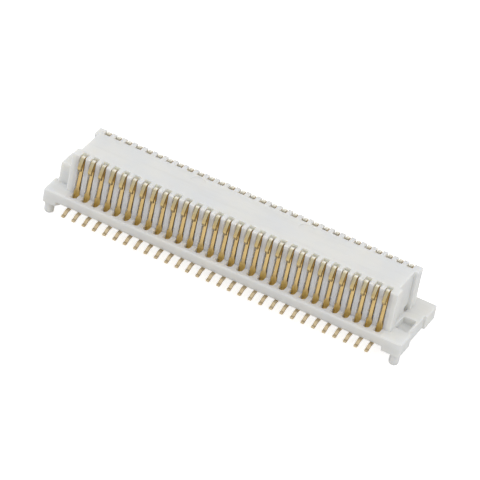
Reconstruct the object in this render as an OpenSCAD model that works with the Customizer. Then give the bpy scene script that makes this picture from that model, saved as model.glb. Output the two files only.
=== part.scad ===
// Two-row board-to-board plug: a slotted upright tongue on a thin base, with ears and locating posts.
// X runs along the contact rows, Y from front to back, and Z up from the circuit board.
// The origin is the middle of the contact field, on the board's surface.

/* [Contact rows] */
// Contact positions along each side of the tongue
positions = 30; // [4:1:45]
// Distance between neighbouring contacts
pitch = 0.6; // [0.5:0.05:1.2]
// Distance from the last contact's middle to the end of the tongue
row_end = 0.6; // [0.45:0.05:1.5]

/* [Tongue] */
// Thickness of the tongue from its front face to its back face
tongue_w = 3; // [2.4:0.05:3.8]
// Height of the tongue's top face above the board
tongue_top = 3.1; // [2.5:0.1:6]
// Bevel along the tongue's top edges
tongue_bevel = 0.05; // [0.02:0.01:0.15]
// Width of each contact slot
slot_w = 0.34; // [0.28:0.01:0.42]
// Depth of each contact slot behind the tongue's face
slot_depth = 0.45; // [0.4:0.01:0.6]
// Width of the upright groove in each end of the tongue
groove_w = 1.8; // [0.8:0.05:2]
// Depth of the upright groove in each end of the tongue
groove_depth = 0.2; // [0.1:0.01:0.3]
// Diameter of the two faint ejector marks on the top face
mark_d = 0.8; // [0.4:0.1:1]
// Depth of the ejector marks
mark_depth = 0.03; // [0.01:0.01:0.06]
// Distance of each ejector mark from the middle of the part, along the rows
mark_x = 3.12; // [1:0.01:4]
// Distance of the ejector marks behind the middle of the tongue
mark_y = 0.55; // [0:0.05:0.6]

/* [Base and ears] */
// Depth of the base and ears from front to back
base_w = 4.3; // [3.9:0.05:6]
// Height of the upper face of the base and the ears above the board
base_top = 0.8; // [0.6:0.05:1.2]
// Height of the base's underside above the board, where the tails pass
standoff = 0.25; // [0.2:0.01:0.35]
// Length of each ear beyond the end of the tongue
ear_reach = 0.96; // [0.9:0.02:2]
// Length of each ear that lies under the tongue
ear_under = 0.06; // [0.02:0.01:0.12]
// Radius of the ears' upright outer corners
ear_corner = 0.1; // [0.05:0.01:0.1]
// Bevel along the upper edges of the base, the ears and the block
base_bevel = 0.05; // [0.02:0.01:0.1]
// Length, along the rows, of the cut-off inner corner of the left ear's foot
foot_cut_l = 0.27; // [0.05:0.01:0.3]
// Depth, from front to back, of the cut-off inner corner of the left ear's foot
foot_cut_w = 0.44; // [0.1:0.02:0.8]
// Width of the shallow recess in each ear's end face
ear_recess_w = 1.8; // [0.6:0.1:2.4]
// Depth of the shallow recess in each ear's end face
ear_recess_depth = 0.13; // [0.05:0.01:0.2]

/* [Polarising block and pocket] */
// Length of the block that stands on the left ear
block_l = 0.69; // [0.3:0.01:0.8]
// Depth of the block from front to back
block_w = 1.2; // [0.6:0.05:1.5]
// Distance from the block's front face to the middle of the part
block_front = 1.1; // [0.8:0.05:1.3]
// Height of the block's top above the board
block_top = 2.0; // [1.2:0.1:2.4]
// Length of the pocket in the right ear's upper face
pocket_l = 0.7; // [0.3:0.05:0.75]
// Width of the pocket from front to back
pocket_w = 1.15; // [0.4:0.05:1.3]
// Distance from the pocket's front edge to the middle of the part
pocket_front = 0.95; // [0.5:0.05:1.2]
// Depth of the pocket
pocket_depth = 0.4; // [0.1:0.05:0.5]
// Width, from front to back, of the small notch at the foot of the right end groove
notch_w = 0.36; // [0.2:0.02:0.6]
// Depth of the notch behind the groove's back wall, and of its floor below the ear's upper face
notch_depth = 0.14; // [0.08:0.01:0.2]
// Height of the notch above the ear's upper face
notch_rise = 0.28; // [0.1:0.02:0.4]

/* [Locating posts] */
// Diameter of each locating post
post_d = 0.52; // [0.4:0.02:0.64]
// Length of each post below the board's surface
post_l = 0.68; // [0.4:0.02:1.6]
// Radius of the rounding round each post's tip
post_round = 0.14; // [0.05:0.01:0.18]
// Distance from the ear's end face to the post's middle
post_from_end = 0.33; // [0.3:0.01:0.6]
// Distance from the base's front face to the post's middle
post_from_front = 0.36; // [0.3:0.01:0.6]

/* [Contacts] */
// Thickness of the metal strip
strip_t = 0.12; // [0.08:0.01:0.15]
// Width of the spring leg
leg_w = 0.18; // [0.12:0.01:0.24]
// Width of the solder tail
tail_w = 0.18; // [0.12:0.01:0.26]
// Length of the tail beyond the base's edge
tail_reach = 0.6; // [0.45:0.01:1.2]
// Length of the tail that stays level beyond the base's edge
tail_level = 0.2; // [0.04:0.02:0.24]
// Length of the tail's flat foot
foot_l = 0.16; // [0.12:0.01:0.2]
// Radius of the strip's bends at the tail, the root and the nose, to the middle of the strip
bend_r = 0.12; // [0.1:0.01:0.15]
// Distance that the nose stands out of the tongue's face
nose_out = 0.25; // [0.2:0.01:0.35]
// Distance from the tongue's top face down to the nose
nose_drop = 0.58; // [0.45:0.01:0.9]
// Distance from the nose down to the strip's free end
end_drop = 0.25; // [0.15:0.01:0.4]
// Distance that the free end is tucked in behind the nose
end_tuck = 0.16; // [0.1:0.01:0.18]
// Radius of the loop at the top, to the middle of the strip
loop_r = 0.08; // [0.08:0.005:0.12]
// Distance from the tongue's top face down to the loop
loop_drop = 0.02; // [0:0.01:0.1]
// Distance that the spring leg leans back into its slot at the loop
leg_lean = 0.18; // [0.06:0.01:0.2]
// Height of the wide root above the base's upper face
root_rise = 0.25; // [0.2:0.05:0.8]
// Clearance on each side of the root in its slot, and behind it
root_clear = 0.01; // [0.005:0.005:0.03]
// Clearance between the tails and the base's underside
tail_clear = 0.005; // [0.005:0.005:0.02]
// Distance that the opening in the base runs forward of the tongue's face
window_reach = 0.42; // [0.18:0.01:0.45]

/* [Hidden] */
$fn = 48;
// Overlap that keeps joined shapes and through cuts clean
skin = 0.05;
row_l = (positions - 1) * pitch;
tongue_l = row_l + 2 * row_end;
face_y = tongue_w / 2;
base_y = base_w / 2;
ear_out = tongue_l / 2 + ear_reach;
ear_in = tongue_l / 2 - ear_under;
post_x = ear_out - post_from_end;
post_y = base_y - post_from_front;
root_w = slot_w - 2 * root_clear;
root_top = base_top + root_rise;
root_back = face_y - strip_t - root_clear;
// Height at which the root has narrowed to the spring leg
shoulder_z = root_top + 0.1;
window_y = face_y + window_reach - slot_w / 2;
groove_x = tongue_l / 2 - groove_depth;
notch_front = groove_depth / 3;

function contact_name(i) = str("contacts_", i < 10 ? "0" : "", i);
function contact_x(i) = (i - 1) * pitch - row_l / 2;

// Middle line of a rear contact's strip as [y, z, bend radius], from the tail's end to the free end
leg_y = face_y - strip_t / 2;
loop_y = leg_y - leg_lean;
loop_z = tongue_top - loop_drop - strip_t / 2;
run_z = standoff - tail_clear - strip_t / 2;
nose_z = tongue_top - nose_drop;
strip_line = [
    [base_y + tail_reach, strip_t / 2, 0],
    [base_y + tail_reach - foot_l, strip_t / 2, bend_r],
    [base_y + tail_level, run_z, bend_r],
    [leg_y, run_z, bend_r],
    [leg_y, shoulder_z, bend_r],
    [loop_y, loop_z, loop_r],
    [loop_y + 2 * loop_r, loop_z, loop_r],
    [leg_y + nose_out, nose_z, bend_r],
    [leg_y + nose_out - end_tuck, nose_z - end_drop, 0]
];

// Heading in degrees from one point of the line to the next
function heading(a, b) = atan2(b[1] - a[1], b[0] - a[0]);
function wrapped(angle) = angle > 180 ? angle - 360 : angle < -180 ? angle + 360 : angle;
function leftward(angle) = [-sin(angle), cos(angle)];
function forward(angle) = [cos(angle), sin(angle)];

// Points and headings, as [point, heading], round the bend at point b of a line from a to c
bend_steps = 5;
function bend(a, b, c, r) =
    let (
        h1 = heading(a, b),
        turn = wrapped(heading(b, c) - h1),
        side = turn > 0 ? 1 : -1,
        start = [b[0], b[1]] - forward(h1) * r * tan(abs(turn) / 2),
        middle = start + leftward(h1) * side * r
    )
    [for (k = [0:bend_steps])
        let (h = h1 + turn * k / bend_steps)
        [middle - leftward(h) * side * r, h]];

// The whole middle line of a strip, bends included
function strip_stations(line) =
    let (last = len(line) - 1)
    concat(
        [[[line[0][0], line[0][1]], heading(line[0], line[1])]],
        [for (i = [1:last - 1]) each bend(line[i - 1], line[i], line[i + 1], line[i][2])],
        [[[line[last][0], line[last][1]], heading(line[last - 1], line[last])]]
    );

// Side outline of a strip of thickness t along a line, with a round far end
function strip_outline(line, t) =
    let (
        stations = strip_stations(line),
        last = len(stations) - 1,
        tip = stations[last]
    )
    concat(
        [for (s = stations) s[0] + leftward(s[1]) * t / 2],
        [for (k = [1:5]) tip[0] + leftward(tip[1] - 30 * k) * t / 2],
        [for (k = [last:-1:0]) stations[k][0] - leftward(stations[k][1]) * t / 2]
    );

// Half of the strip's outline seen along Y, as [x, z] from the tail up to the loop
strip_half = [
    [tail_w / 2, -skin],
    [tail_w / 2, standoff - 0.02],
    [root_w / 2, standoff + 0.06],
    [root_w / 2, root_top - 0.08],
    [leg_w / 2, shoulder_z],
    [leg_w / 2, tongue_top + skin]
];
strip_front = concat(
    strip_half,
    [for (k = [len(strip_half) - 1:-1:0]) [-strip_half[k][0], strip_half[k][1]]]
);

// A side outline in Y and Z, extruded by w along X
module extrude_along_x(w) {
    rotate([90, 0, 90]) linear_extrude(height = w, center = true) children();
}

// An outline in X and Z, extruded by w along Y
module extrude_along_y(w) {
    rotate([90, 0, 0]) linear_extrude(height = w, center = true) children();
}

// One rear contact on the YZ plane: a bent strip, trimmed to its stamped width
module rear_contact() {
    intersection() {
        extrude_along_x(root_w) polygon(strip_outline(strip_line, strip_t));
        translate([0, base_y / 2, 0]) extrude_along_y(2 * base_w) polygon(strip_front);
    }
}

// The two contacts of one position, front and rear
module contact_pair(i) {
    color([0.80, 0.64, 0.34])
    translate([contact_x(i), 0, 0]) {
        rear_contact();
        mirror([0, 1, 0]) rear_contact();
    }
}

// Rectangle of half width w and height top, with both upper corners bevelled
module bevelled_outline(w, bottom, top, bevel) {
    polygon([
        [-w, bottom], [w, bottom], [w, top - bevel], [w - bevel, top],
        [-w + bevel, top], [-w, top - bevel]
    ]);
}

// The upright tongue with its bevelled top
module tongue_block() {
    intersection() {
        extrude_along_x(tongue_l) bevelled_outline(face_y, standoff, tongue_top, tongue_bevel);
        extrude_along_y(tongue_w) bevelled_outline(tongue_l / 2, standoff, tongue_top, tongue_bevel);
    }
}

// The thin base between the ears, level with their upper faces
module base_plate() {
    extrude_along_x(2 * ear_in + 2 * skin) bevelled_outline(base_y, standoff, base_top, base_bevel);
}

// Plan outline of the right ear, with round outer corners and a recessed end face
module ear_outline() {
    difference() {
        union() {
            translate([ear_in, -base_y]) square([ear_out - ear_corner - ear_in, base_w]);
            translate([ear_in, -base_y + ear_corner]) square([ear_out - ear_in, base_w - 2 * ear_corner]);
            for (side = [-1, 1])
                translate([ear_out - ear_corner, side * (base_y - ear_corner)]) circle(r = ear_corner);
        }
        translate([ear_out - ear_recess_depth, -ear_recess_w / 2]) square([1, ear_recess_w]);
    }
}

// Right ear; the left one is its mirror image
module ear() {
    intersection() {
        linear_extrude(height = base_top) ear_outline();
        extrude_along_x(2 * ear_out + skin) bevelled_outline(base_y, -skin, base_top, base_bevel);
        extrude_along_y(base_w + skin) bevelled_outline(ear_out, -skin, base_top, base_bevel);
    }
}

// Wedge that takes off the front inner corner of the left ear's foot, below the base
module foot_cut() {
    translate([-ear_in, -base_y, -skin])
    linear_extrude(height = standoff + skin)
    polygon([
        [skin, foot_cut_w], [0, foot_cut_w], [-foot_cut_l, 0],
        [-foot_cut_l, -skin], [skin, -skin]
    ]);
}

// Locating post under the right ear, with a rounded tip
module post() {
    translate([post_x, -post_y, -post_l])
    rotate_extrude()
    union() {
        square([post_d / 2 - post_round, post_l + base_top / 2]);
        translate([0, post_round]) square([post_d / 2, post_l + base_top / 2 - post_round]);
        translate([post_d / 2 - post_round, post_round]) intersection() {
            circle(r = post_round);
            translate([0, -post_round]) square(post_round);
        }
    }
}

// Polarising block on the left ear, standing into the end groove
module polarising_block() {
    foot = base_top - skin;
    intersection() {
        translate([-groove_x, block_w / 2 - block_front, 0])
        extrude_along_y(block_w) bevelled_outline(block_l + groove_depth, foot, block_top, base_bevel);
        translate([0, block_w / 2 - block_front, 0])
        extrude_along_x(2 * ear_out) bevelled_outline(block_w / 2, foot, block_top, base_bevel);
    }
}

// Everything that one contact position takes out of the rear half of the housing
module rear_slot() {
    // Open slot that the spring leg moves in
    translate([-slot_w / 2, face_y - slot_depth, root_top])
    cube([slot_w, slot_depth + skin, tongue_top - root_top + skin]);
    // Close seat behind and beside the root, down through the base
    translate([-slot_w / 2, root_back, 0])
    cube([slot_w, window_y - root_back, root_top + skin]);
    // Round end of the opening in the base, in front of the root
    translate([0, window_y, 0]) cylinder(d = slot_w, h = base_top + skin);
}

module end_groove() {
    translate([groove_x, -groove_w / 2, base_top])
    cube([groove_depth + skin, groove_w, tongue_top]);
}

module housing() {
    color([0.88, 0.88, 0.87])
    difference() {
        union() {
            difference() {
                tongue_block();
                end_groove();
                mirror([1, 0, 0]) end_groove();
            }
            base_plate();
            ear();
            mirror([1, 0, 0]) ear();
            post();
            mirror([1, 0, 0]) post();
            polarising_block();
        }
        for (i = [1:positions]) {
            translate([contact_x(i), 0, 0]) {
                rear_slot();
                mirror([0, 1, 0]) rear_slot();
            }
        }
        // Pocket in the right ear, beside the tongue
        translate([tongue_l / 2, -pocket_front, base_top - pocket_depth])
        cube([pocket_l, pocket_w, pocket_depth + skin]);
        foot_cut();
        // Notch at the foot of the right end groove, in its back corner
        translate([groove_x - notch_depth, groove_w / 2 - notch_w, base_top - notch_depth])
        cube([notch_depth + notch_front, notch_w, notch_depth + notch_rise]);
        // Shallow round ejector marks on the top face
        for (side = [-1, 1])
            translate([side * mark_x, mark_y, tongue_top - mark_depth])
            cylinder(d = mark_d, h = mark_depth + skin);
    }
}

housing();
for (i = [1:positions]) {
    contact_pair(i);
}
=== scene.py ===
"""Looks of a two-row board-to-board plug: the moulded housing, its formed gold contacts, floor, lamps and camera.

X runs along the contact rows, Y from front to back and Z up from the circuit board. Lengths are in metres.
"""

import math

import bmesh
import bpy
from mathutils import Matrix, Vector


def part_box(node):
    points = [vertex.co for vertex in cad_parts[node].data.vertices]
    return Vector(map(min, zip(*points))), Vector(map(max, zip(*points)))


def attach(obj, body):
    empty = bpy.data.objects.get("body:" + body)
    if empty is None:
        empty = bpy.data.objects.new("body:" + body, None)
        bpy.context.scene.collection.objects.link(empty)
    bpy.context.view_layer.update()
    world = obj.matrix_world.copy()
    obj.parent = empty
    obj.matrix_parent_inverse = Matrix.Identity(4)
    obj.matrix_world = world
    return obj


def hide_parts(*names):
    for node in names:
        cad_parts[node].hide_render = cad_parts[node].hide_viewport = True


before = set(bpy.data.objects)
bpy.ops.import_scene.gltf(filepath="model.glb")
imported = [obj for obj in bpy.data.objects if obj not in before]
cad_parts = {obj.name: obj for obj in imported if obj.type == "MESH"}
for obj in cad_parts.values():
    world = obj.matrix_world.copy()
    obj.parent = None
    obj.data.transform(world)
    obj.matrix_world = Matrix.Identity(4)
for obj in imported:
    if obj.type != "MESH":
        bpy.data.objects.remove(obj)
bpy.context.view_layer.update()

MM = 0.001

# The photograph's camera, fitted to the repeating contacts
CAMERA_AZIMUTH = 20.59
CAMERA_ELEVATION = 35.14
CAMERA_ROLL = 11.49
CAMERA_DISTANCE = 226.9 * MM
CAMERA_LENS = 338.2
CAMERA_SENSOR = 36.0
CAMERA_NEAR = 10 * MM
CAMERA_AIM = Vector((0.278, -0.858, 1.820)) * MM

# Housing: half the tongue's width, the depth of its slots, the base's upper face and the outer edge of its windows
TONGUE_HALF = 1.50 * MM
SLOT_DEPTH = 0.45 * MM
BASE_TOP = 0.80 * MM
WINDOW_EDGE = 1.92 * MM

# Contact strip, formed along the same line as the CAD contact's
STRIP_THICKNESS = 0.12 * MM
ROOT_WIDTH = 0.32 * MM
LEG_WIDTH = 0.18 * MM
TAIL_WIDTH = 0.18 * MM
TAIL_FOOT = 0.16 * MM
TAIL_LEVEL = 0.20 * MM
TAIL_RUN = 0.185 * MM
BEND_RADIUS = 0.12 * MM
ROOT_START = 0.36 * MM
ROOT_END = 0.97 * MM
LEG_START = 1.15 * MM
LEG_LEAN = 0.18 * MM
LOOP_RADIUS = 0.08 * MM
LOOP_DROP = 0.02 * MM
NOSE_OUT = 0.25 * MM
NOSE_DROP = 0.58 * MM
END_DROP = 0.25 * MM
END_TUCK = 0.16 * MM
STRIP_EDGE = 0.016 * MM
STRIP_CORNER_ANGLE = math.radians(50)
END_ROUND = 0.49 * STRIP_THICKNESS
BEND_STEP = math.radians(12)

# Rounding that the mould leaves on the housing's square corners. Corners that the CAD bevels, and the rims of
# the shallow ejector marks within MARK_RIM of the middle line, stay as they are.
CORNER_ROUND = 0.025 * MM
CORNER_ANGLE = math.radians(60)
MARK_RIM = 1.0 * MM
FLAT_ANGLE = math.radians(0.5)
SMOOTH_ANGLE = math.radians(12)
WELD = 0.0002 * MM

# Housing's plastic: skin, streaks and grain, a painted shade on the walls between the contacts, and painted light on
# the faces in the slots and windows, warmer near the slots' mouths as a painted reflection of the gold
PLASTIC_WARM = (0.815, 0.812, 0.785, 1.0)
PLASTIC_COOL = (0.775, 0.785, 0.785, 1.0)
PLASTIC_STREAK = (0.74, 0.742, 0.73, 1.0)
PLASTIC_GRAIN = (0.70, 0.70, 0.685, 1.0)
BETWEEN_CONTACTS_PAINTED_SHADE = (0.905, 0.90, 0.915, 1.0)
SLOT_PAINTED_LIGHT = (0.96, 0.95, 0.92, 1.0)
SLOT_MOUTH_PAINTED_REFLECTION = (0.95, 0.93, 0.84, 1.0)
CLOUD_SCALE = 420.0
STREAK_SCALE = (260.0, 1900.0, 1500.0)
GRAIN_SCALE = 26000.0
GRAIN_HEIGHT = 0.003 * MM
LIGHT_DEPTH = 0.4 * MM

# Contacts' colours, from the root up to the loop and down inside it, then the tail, and what varies them. The root is
# painted lighter, the head and the part near the loop get a painted shade, the head inside the slot a painted brown
# shade, the loop's top a painted highlight and its inward faces a painted shade. The tail's duller tone is its own
GOLD_ROOT_PAINTED_LIGHT = (0.66, 0.475, 0.16, 1.0)
GOLD_LEG = (0.55, 0.405, 0.185, 1.0)
GOLD_HEAD_PAINTED_SHADE = (0.49, 0.385, 0.19, 1.0)
GOLD_NEAR_LOOP_PAINTED_SHADE = (0.47, 0.42, 0.28, 1.0)
GOLD_IN_SLOT_PAINTED_SHADE = (0.60, 0.36, 0.09, 1.0)
GOLD_LOOP_PAINTED_HIGHLIGHT = (0.82, 0.805, 0.745, 1.0)
GOLD_IN_LOOP_PAINTED_SHADE = (0.44, 0.42, 0.35, 1.0)
GOLD_TAIL = (0.50, 0.41, 0.26, 1.0)
GOLD_OWN_TINT = (0.86, 0.76, 0.60, 1.0)
GOLD_SIDE_SHEAR_AND_SHADE = (0.78, 0.70, 0.58, 1.0)
STAIN_TINT = (0.72, 0.72, 0.72, 1.0)
DRAWN_TINT = (0.85, 0.85, 0.85, 1.0)
STAIN_SCALE = 2600.0
DRAWN_SCALE = (30000.0, 2500.0, 2500.0)
DRAWN_HEIGHT = 0.0012 * MM

# Studio: strength of the even light from all round, side of the square lamps, and the floor
FILL = 0.6
LAMP_SIZE = 0.3
FLOOR_HALF = 1.5
FLOOR_COLOUR = (0.8, 0.8, 0.8, 1.0)
FLOOR_GLOW = 0.7
WHITE = (1.0, 1.0, 1.0, 1.0)

housing_low, housing_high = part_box("housing")
contact_nodes = sorted(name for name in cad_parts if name.startswith("contacts_"))


def middle_x(node):
    """Middle of a CAD node along the contact rows."""
    low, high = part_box(node)
    return (low.x + high.x) / 2


first_contact_x = middle_x(contact_nodes[0])
last_contact_x = middle_x(contact_nodes[-1])
contact_pitch = (last_contact_x - first_contact_x) / (len(contact_nodes) - 1)


def in_yz(heading):
    """Unit vector in the YZ plane at an angle from +Y towards +Z."""
    return Vector((0, math.cos(heading), math.sin(heading)))


def toward(azimuth, elevation):
    """Unit vector from the object to a viewer or lamp: azimuth 0 is the front, and more turns it to the right."""
    azimuth, elevation = math.radians(azimuth), math.radians(elevation)
    flat = math.cos(elevation)
    return Vector((math.sin(azimuth) * flat, -math.cos(azimuth) * flat, math.sin(elevation)))


def round_edges(shape, edges, radius, segments, clamp=True):
    """Rounds edges of a bmesh. A clamped radius shrinks where edges would meet."""
    bmesh.ops.bevel(
        shape, geom=edges, offset=radius, offset_type="OFFSET", affect="EDGES", segments=segments, profile=0.5,
        material=-1, clamp_overlap=clamp,
    )


def weld(shape):
    """Joins vertices that lie in the same place."""
    bmesh.ops.remove_doubles(shape, verts=shape.verts, dist=WELD)


def link(name, shape, material, smooth_angle=SMOOTH_ANGLE):
    """Makes a finished bmesh an object in the scene, smooth across every edge flatter than smooth_angle."""
    for face in shape.faces:
        face.smooth = True
    for edge in shape.edges:
        edge.smooth = edge.is_manifold and edge.calc_face_angle() < smooth_angle
    mesh = bpy.data.meshes.new(name)
    shape.to_mesh(mesh)
    shape.free()
    mesh.materials.append(material)
    piece = bpy.data.objects.new(name, mesh)
    bpy.context.scene.collection.objects.link(piece)
    return piece


# ---------------------------------------------------------------- materials


class Wire:
    """One output of a shader node. Python's operators on it add the Math nodes that follow."""

    def __init__(self, finish, socket):
        self.finish = finish
        self.socket = socket

    def math(self, operation, *values):
        return self.finish.node("ShaderNodeMath", {"operation": operation}, dict(enumerate(values)))

    def __add__(self, other):
        return self.math("ADD", self, other)

    __radd__ = __add__

    def __sub__(self, other):
        return self.math("SUBTRACT", self, other)

    def __rsub__(self, other):
        return self.math("SUBTRACT", other, self)

    def __mul__(self, other):
        return self.math("MULTIPLY", self, other)

    __rmul__ = __mul__

    def __truediv__(self, other):
        return self.math("DIVIDE", self, other)

    def __abs__(self):
        return self.math("ABSOLUTE", self)

    def floor(self):
        return self.math("FLOOR", self)

    def larger(self, other):
        return self.math("MAXIMUM", self, other)

    def step(self, low, high):
        """0 below low, 1 above high, and a smooth rise between them."""
        settings = {"interpolation_type": "SMOOTHSTEP"}
        return self.finish.node("ShaderNodeMapRange", settings, {"Value": self, "From Min": low, "From Max": high})


class Finish:
    """A material or world under construction."""

    def __init__(self, owner):
        owner.use_nodes = True
        self.owner = owner
        self.tree = owner.node_tree
        self.tree.nodes.clear()

    def node(self, kind, settings=None, inputs=None, output=0):
        """Adds a node, sets its settings, then its inputs, and gives one of its outputs."""
        made = self.tree.nodes.new(kind)
        for name, value in (settings or {}).items():
            setattr(made, name, value)
        for name, value in (inputs or {}).items():
            if isinstance(value, Wire):
                self.tree.links.new(value.socket, made.inputs[name])
            else:
                made.inputs[name].default_value = value
        return Wire(self, made.outputs[output]) if made.outputs else None

    def place(self):
        """Object coordinates, which are the frame's own."""
        return self.node("ShaderNodeTexCoord", output="Object")

    def facing(self):
        """Direction that the surface faces."""
        return self.node("ShaderNodeTexCoord", output="Normal")

    def parts(self, vector, axes):
        """A vector's parts along the axes that are named."""
        return [self.node("ShaderNodeSeparateXYZ", {}, {"Vector": vector}, axis) for axis in axes]

    def noise(self, place, scale, detail=3.0, roughness=0.5):
        inputs = {"Vector": place, "Scale": scale, "Detail": detail, "Roughness": roughness}
        return self.node("ShaderNodeTexNoise", {}, inputs)

    def stretched_noise(self, place, scale):
        """Noise with a scale for each direction."""
        stretched = self.node("ShaderNodeVectorMath", {"operation": "MULTIPLY"}, {0: place, 1: scale})
        return self.noise(stretched, 1.0, roughness=0.6)

    def mix(self, amount, first, second, blend="MIX"):
        """Colour between first and second, by amount from 0 to 1. The numbers are a Mix node's colour sockets."""
        settings = {"data_type": "RGBA", "blend_type": blend}
        return self.node("ShaderNodeMix", settings, {0: amount, 6: first, 7: second}, 2)

    def tinted(self, amount, colour, tint):
        """Colour multiplied by a tint, by amount from 0 to 1."""
        return self.mix(amount, colour, tint, "MULTIPLY")

    def bump(self, height, strength, distance):
        """Normal of a surface with small hills, distance high where height is 1."""
        return self.node("ShaderNodeBump", {}, {"Strength": strength, "Distance": distance, "Height": height})

    def material(self, inputs):
        """Finishes a material with a Principled shader."""
        surface = self.node("ShaderNodeBsdfPrincipled", {}, inputs)
        self.node("ShaderNodeOutputMaterial", {}, {"Surface": surface})
        return self.owner


def moulded_plastic():
    """Off-white liquid-crystal polymer: a matt skin with faint flow streaks along the tongue and a fine grain."""
    finish = Finish(bpy.data.materials.new("moulded_plastic"))
    place = finish.place()
    cloud = finish.noise(place, CLOUD_SCALE)
    flow = finish.stretched_noise(place, STREAK_SCALE)
    grain = finish.noise(place, GRAIN_SCALE, detail=2.0)
    colour = finish.mix(cloud.step(0.35, 0.65), PLASTIC_WARM, PLASTIC_COOL)
    colour = finish.mix(flow.step(0.42, 0.72) * 0.5, colour, PLASTIC_STREAK)
    colour = finish.mix(grain.step(0.55, 0.8) * 0.35, colour, PLASTIC_GRAIN)

    # Both sides and both ends are alike, so x and y count from the middle. Masks fade over some hundredths of a mm.
    x, y, z = finish.parts(place, "XYZ")
    x, y = abs(x), abs(y)
    top = housing_high.z
    slot_floor = TONGUE_HALF - SLOT_DEPTH
    in_row = (last_contact_x + 0.4 * MM - x).step(0, 0.1 * MM)
    on_face = y.step(TONGUE_HALF - 0.04 * MM, TONGUE_HALF - 0.01 * MM)
    above_base = z.step(BASE_TOP - 0.06 * MM, BASE_TOP - 0.02 * MM)
    behind_face = y.step(slot_floor - 0.03 * MM, slot_floor) * (TONGUE_HALF - y).step(0.01 * MM, 0.03 * MM)
    in_slot = behind_face * (top - z).step(0.01 * MM, 0.03 * MM)
    over_window = y.step(TONGUE_HALF - 0.03 * MM, TONGUE_HALF) * (WINDOW_EDGE + 0.03 * MM - y).step(0, 0.02 * MM)
    in_window = over_window * (BASE_TOP - z).step(0.01 * MM, 0.04 * MM)
    in_mouth = z.step(top - 0.6 * MM, top - 0.2 * MM)
    # Painted shade: the tongue's face between the contacts, above the base, is tinted darker for the shade that falls
    # there
    colour = finish.tinted(on_face * above_base * in_row, colour, BETWEEN_CONTACTS_PAINTED_SHADE)
    # Painted light: the faces in the slots and windows are paler than the skin, which lifts the shade in them, and
    # warmer towards the slots' mouths as a painted reflection of the gold contacts
    painted_slot_light = finish.mix(in_mouth, SLOT_PAINTED_LIGHT, SLOT_MOUTH_PAINTED_REFLECTION)
    colour = finish.mix((in_slot + in_window) * in_row, colour, painted_slot_light)
    return finish.material({
        "Base Color": colour,
        "Roughness": 0.46 + cloud * 0.12 + grain * 0.12,
        "Specular IOR Level": 0.4,
        "Subsurface Weight": 1.0,
        "Subsurface Radius": (1.0, 0.95, 0.85),
        "Subsurface Scale": LIGHT_DEPTH,
        "Normal": finish.bump(grain + flow * 0.8, strength=0.5, distance=GRAIN_HEIGHT),
    })


def plated_strip():
    """Thin satin gold over copper alloy, with light and shade painted along it: painted lighter on the root, plain on
    the leg, a painted olive shade on the head and a painted pale highlight on the loop.
    """
    finish = Finish(bpy.data.materials.new("plated_strip"))
    place = finish.place()
    x, y, z = finish.parts(place, "XYZ")
    normal_x, normal_y = finish.parts(finish.facing(), "XY")
    rear_row = y.step(-MM, MM)
    side = abs(normal_x).step(0.6, 0.9)
    outward = normal_y * (rear_row * 2 - 1)
    inward = (0 - outward).step(0.15, 0.55)
    top = housing_high.z
    on_tail = abs(y).step(housing_high.y - 0.1 * MM, housing_high.y + 0.05 * MM)
    up_leg = z.step(LEG_START - 0.35 * MM, LEG_START)
    up_head = z.step(top - 0.9 * MM, top - 0.75 * MM)
    near_loop = z.step(top - 0.5 * MM, top - 0.15 * MM)
    on_loop = z.step(top - 0.11 * MM, top - 0.05 * MM)
    in_slot = (TONGUE_HALF - abs(y)).step(0.06 * MM, 0.16 * MM) * up_head

    # Each contact has its own amount of the warmer tint
    position = ((x - first_contact_x) / contact_pitch + 0.5).floor()
    own = finish.node("ShaderNodeTexWhiteNoise", {"noise_dimensions": "1D"}, {"W": position + rear_row * 50})
    drawn = finish.stretched_noise(place, DRAWN_SCALE)
    stain = finish.noise(place, STAIN_SCALE)

    # Painted light: the root is coloured lighter than the leg, and the Metallic input below makes it less metallic,
    # against the dark reflections it gets low between the walls
    plating_and_painted_light = finish.mix(up_leg, GOLD_ROOT_PAINTED_LIGHT, GOLD_LEG)
    for amount, colour in (
        # Painted shade: the head and the part near the loop are coloured darker and more olive than the leg
        (up_head, GOLD_HEAD_PAINTED_SHADE),
        (near_loop, GOLD_NEAR_LOOP_PAINTED_SHADE),
        # Painted shade: the strip behind the head, inside the slot, is coloured a deep brown
        (in_slot * 0.8, GOLD_IN_SLOT_PAINTED_SHADE),
        # Painted highlight: the loop's top, except where it faces outward, is coloured a pale cream
        (on_loop * (1 - outward.step(0.1, 0.6) * 0.75), GOLD_LOOP_PAINTED_HIGHLIGHT),
        # Painted shade: the faces turned inward, near the loop, are coloured a dull grey-brown
        (inward * near_loop, GOLD_IN_LOOP_PAINTED_SHADE),
        (on_tail, GOLD_TAIL),
    ):
        plating_and_painted_light = finish.mix(amount, plating_and_painted_light, colour)
    for amount, tint in (
        (own * 0.3, GOLD_OWN_TINT),
        (stain.step(0.45, 0.8) * 0.5, STAIN_TINT),
        # Side faces are tinted darker, both for the duller sheared edges and as a painted shade
        (side * (1 - on_loop) * 0.8, GOLD_SIDE_SHEAR_AND_SHADE),
        (drawn.step(0.4, 0.8) * 0.5, DRAWN_TINT),
    ):
        plating_and_painted_light = finish.tinted(amount, plating_and_painted_light, tint)
    return finish.material({
        "Base Color": plating_and_painted_light,
        "Metallic": up_leg * 0.25 + 0.75,
        "Roughness": 0.36 + drawn * 0.12 + side * 0.1 - on_loop * 0.08,
        "Normal": finish.bump(drawn, strength=0.4, distance=DRAWN_HEIGHT),
    })


# ---------------------------------------------------------------- housing


def in_mark(vert):
    """True on the rim and floor of the ejector marks, which lie between the rows of slots."""
    x, y, z = vert.co
    return abs(x) < last_contact_x and abs(y) < MARK_RIM and z > housing_high.z - 2 * CORNER_ROUND


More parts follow.
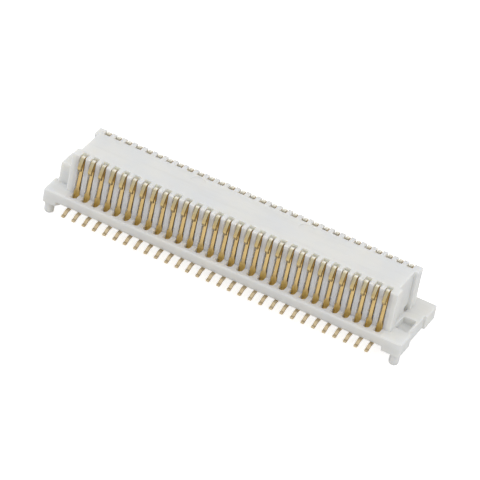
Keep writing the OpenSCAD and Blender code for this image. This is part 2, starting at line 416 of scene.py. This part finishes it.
def moulded_housing():
    """The CAD housing with its loose triangles joined and its corners slightly rounded, as the mould leaves them."""
    shape = bmesh.new()
    shape.from_mesh(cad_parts["housing"].data)
    weld(shape)
    bmesh.ops.dissolve_limit(shape, angle_limit=FLAT_ANGLE, verts=shape.verts, edges=shape.edges)
    corners = [
        edge for edge in shape.edges
        if edge.is_manifold and edge.calc_face_angle() > CORNER_ANGLE and not all(map(in_mark, edge.verts))
    ]
    round_edges(shape, corners, CORNER_ROUND, segments=2, clamp=False)
    return shape


# ---------------------------------------------------------------- contacts


def extrude(shape, end, move, width):
    """Draws the strip's end on in a straight run, to its own width at the far end."""
    grown = bmesh.ops.extrude_face_region(shape, geom=[end])["geom"]
    face = next(item for item in grown if isinstance(item, bmesh.types.BMFace))
    bmesh.ops.translate(shape, verts=face.verts, vec=move)
    for vert in face.verts:
        vert.co.x = math.copysign(width / 2, vert.co.x)
    return face


def bend(shape, end, middle, turn):
    """Bends the strip's end round a line along X."""
    steps = max(2, math.ceil(abs(turn) / BEND_STEP))
    spun = bmesh.ops.spin(
        shape, geom=[end, *end.verts, *end.edges], cent=middle, axis=(1, 0, 0), angle=turn, steps=steps,
    )["geom_last"]
    return next(item for item in spun if isinstance(item, bmesh.types.BMFace))


def strip_route():
    """Middle line of a rear contact as (y, z, bend radius, width), from the tail's end to the free end."""
    half = STRIP_THICKNESS / 2
    leg_y = TONGUE_HALF - half
    loop_y = leg_y - LEG_LEAN
    loop_z = housing_high.z - LOOP_DROP - half
    nose_y = leg_y + NOSE_OUT
    nose_z = housing_high.z - NOSE_DROP
    tail_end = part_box(contact_nodes[0])[1].y
    return [
        (tail_end, half, 0, TAIL_WIDTH),
        (tail_end - TAIL_FOOT, half, BEND_RADIUS, TAIL_WIDTH),
        (housing_high.y + TAIL_LEVEL, TAIL_RUN, BEND_RADIUS, TAIL_WIDTH),
        (leg_y, TAIL_RUN, BEND_RADIUS, TAIL_WIDTH),
        (leg_y, ROOT_START, 0, ROOT_WIDTH),
        (leg_y, ROOT_END, 0, ROOT_WIDTH),
        (leg_y, LEG_START, BEND_RADIUS, LEG_WIDTH),
        (loop_y, loop_z, LOOP_RADIUS, LEG_WIDTH),
        (loop_y + 2 * LOOP_RADIUS, loop_z, LOOP_RADIUS, LEG_WIDTH),
        (nose_y, nose_z, BEND_RADIUS, LEG_WIDTH),
        (nose_y - END_TUCK, nose_z - END_DROP, 0, LEG_WIDTH),
    ]


def formed_contact():
    """One rear contact at the middle of the row: a flat strip, bent and narrowed as a press forms it."""
    route = strip_route()
    points = [Vector((0, y, z)) for y, z, _, _ in route]
    shape = bmesh.new()
    section = Matrix.LocRotScale(
        points[0], Matrix.Rotation(math.pi / 2, 3, "X"), Vector((TAIL_WIDTH, STRIP_THICKNESS, 1))
    )
    bmesh.ops.create_grid(shape, x_segments=1, y_segments=1, size=0.5, matrix=section)
    end = shape.faces[:][0]
    at = points[0]
    for before, here, after, (_, _, radius, width) in zip(points, points[1:], points[2:], route[1:]):
        into, out = here - before, after - here
        heading = math.atan2(into.z, into.y)
        turn = math.remainder(math.atan2(out.z, out.y) - heading, math.tau)
        start = here - into.normalized() * radius * math.tan(abs(turn) / 2)
        end = extrude(shape, end, start - at, width)
        at = start
        if radius:
            side = math.copysign(radius, turn)
            middle = start + in_yz(heading + math.pi / 2) * side
            end = bend(shape, end, middle, turn)
            at = middle - in_yz(heading + turn + math.pi / 2) * side
    extrude(shape, end, points[-1] - at, LEG_WIDTH)
    weld(shape)

    # Each bend leaves the section it began with across the strip's inside
    inside = [face for face in shape.faces if all(len(edge.link_faces) > 2 for edge in face.edges)]
    bmesh.ops.delete(shape, geom=inside, context="FACES_ONLY")
    round_free_end(shape, points[-1])
    bmesh.ops.recalc_face_normals(shape, faces=shape.faces)
    long_edges = [edge for edge in shape.edges if edge.is_manifold and edge.calc_face_angle() > STRIP_CORNER_ANGLE]
    round_edges(shape, long_edges, STRIP_EDGE, segments=2)
    weld(shape)
    return shape


def round_free_end(shape, tip):
    """Rounds the strip's last two edges over almost its whole thickness."""
    rim = [
        edge for edge in shape.edges
        if abs(edge.verts[0].co.y - edge.verts[1].co.y) < WELD
        and all((vert.co - tip).length < STRIP_THICKNESS for vert in edge.verts)
    ]
    round_edges(shape, rim, END_ROUND, segments=4)


# ---------------------------------------------------------------- pieces

housing = link("housing_moulded", moulded_housing(), moulded_plastic())
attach(housing, "root")
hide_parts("housing")

gold = plated_strip()
one_contact = formed_contact()
for node in contact_nodes:
    number = node.split("_")[-1]
    for row, turn in (("rear", 0), ("front", math.pi)):
        shape = one_contact.copy()
        place = Matrix.Translation((middle_x(node), 0, 0)) @ Matrix.Rotation(turn, 4, "Z")
        bmesh.ops.transform(shape, matrix=place, verts=shape.verts)
        contact = link(f"contact_{row}_{number}", shape, gold, STRIP_CORNER_ANGLE)
        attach(contact, "root")
        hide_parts(node)
one_contact.free()


# ---------------------------------------------------------------- floor, background and lamps


def seen_rays(finish):
    """1 for rays from the camera and for mirrored and refracted ones, 0 for the light that falls on the object."""
    rays = ("Is Camera Ray", "Is Glossy Ray", "Is Transmission Ray")
    camera, glossy, through = (finish.node("ShaderNodeLightPath", output=ray) for ray in rays)
    return camera.larger(glossy.larger(through))


def pale_floor():
    """White floor under the posts' tips. It keeps the object's shadow, which its own glow only lightens."""
    finish = Finish(bpy.data.materials.new("floor_white"))
    paper = finish.node("ShaderNodeBsdfDiffuse", {}, {"Color": FLOOR_COLOUR})
    glow = finish.node("ShaderNodeEmission", {}, {"Color": WHITE, "Strength": seen_rays(finish) * FLOOR_GLOW})
    both = finish.node("ShaderNodeAddShader", {}, {0: paper, 1: glow})
    finish.node("ShaderNodeOutputMaterial", {}, {"Surface": both})
    shape = bmesh.new()
    level = Matrix.Translation((0, 0, housing_low.z))
    bmesh.ops.create_grid(shape, x_segments=1, y_segments=1, size=FLOOR_HALF, matrix=level)
    return link("floor", shape, finish.owner)


def white_world():
    """White background for the camera and for reflections, and a soft even fill for the object."""
    world = bpy.data.worlds.new("studio")
    bpy.context.scene.world = world
    finish = Finish(world)
    seen = seen_rays(finish)
    glow = finish.node("ShaderNodeBackground", {}, {"Color": WHITE, "Strength": seen + (1 - seen) * FILL})
    finish.node("ShaderNodeOutputWorld", {}, {"Surface": glow})


def softbox(name, azimuth, elevation, distance, power):
    """Square lamp that faces the object from a direction given as the camera's is."""
    direction = toward(azimuth, elevation)
    lamp = bpy.data.lights.new(name, "AREA")
    lamp.shape = "SQUARE"
    lamp.size = LAMP_SIZE
    lamp.energy = power
    holder = bpy.data.objects.new(name, lamp)
    turn = direction.to_track_quat("Z", "Y").to_matrix().to_4x4()
    holder.matrix_world = Matrix.Translation(direction * distance) @ turn
    bpy.context.scene.collection.objects.link(holder)


pale_floor()
white_world()
softbox("overhead", azimuth=20, elevation=88, distance=0.35, power=0.18)
softbox("left_side", azimuth=-75, elevation=35, distance=0.4, power=0.29)
softbox("right_side", azimuth=95, elevation=35, distance=0.4, power=0.23)
softbox("front", azimuth=20, elevation=40, distance=0.4, power=0.12)


# ---------------------------------------------------------------- camera


def photo_camera():
    """Camera at the photograph's angle, turned so that the rows run down to the right."""
    azimuth, roll = math.radians(CAMERA_AZIMUTH), math.radians(CAMERA_ROLL)
    back = toward(CAMERA_AZIMUTH, CAMERA_ELEVATION)
    level = Vector((math.cos(azimuth), math.sin(azimuth), 0))
    right = level * math.cos(roll) + back.cross(level) * math.sin(roll)
    turn = Matrix((right, back.cross(right), back)).transposed().to_4x4()
    camera = bpy.data.objects.new("camera", bpy.data.cameras.new("camera"))
    camera.data.lens = CAMERA_LENS
    camera.data.sensor_width = CAMERA_SENSOR
    camera.data.clip_start = CAMERA_NEAR
    camera.matrix_world = Matrix.Translation(CAMERA_AIM + back * CAMERA_DISTANCE) @ turn
    bpy.context.scene.collection.objects.link(camera)
    bpy.context.scene.camera = camera


photo_camera()
bpy.context.scene.view_settings.view_transform = "Standard"
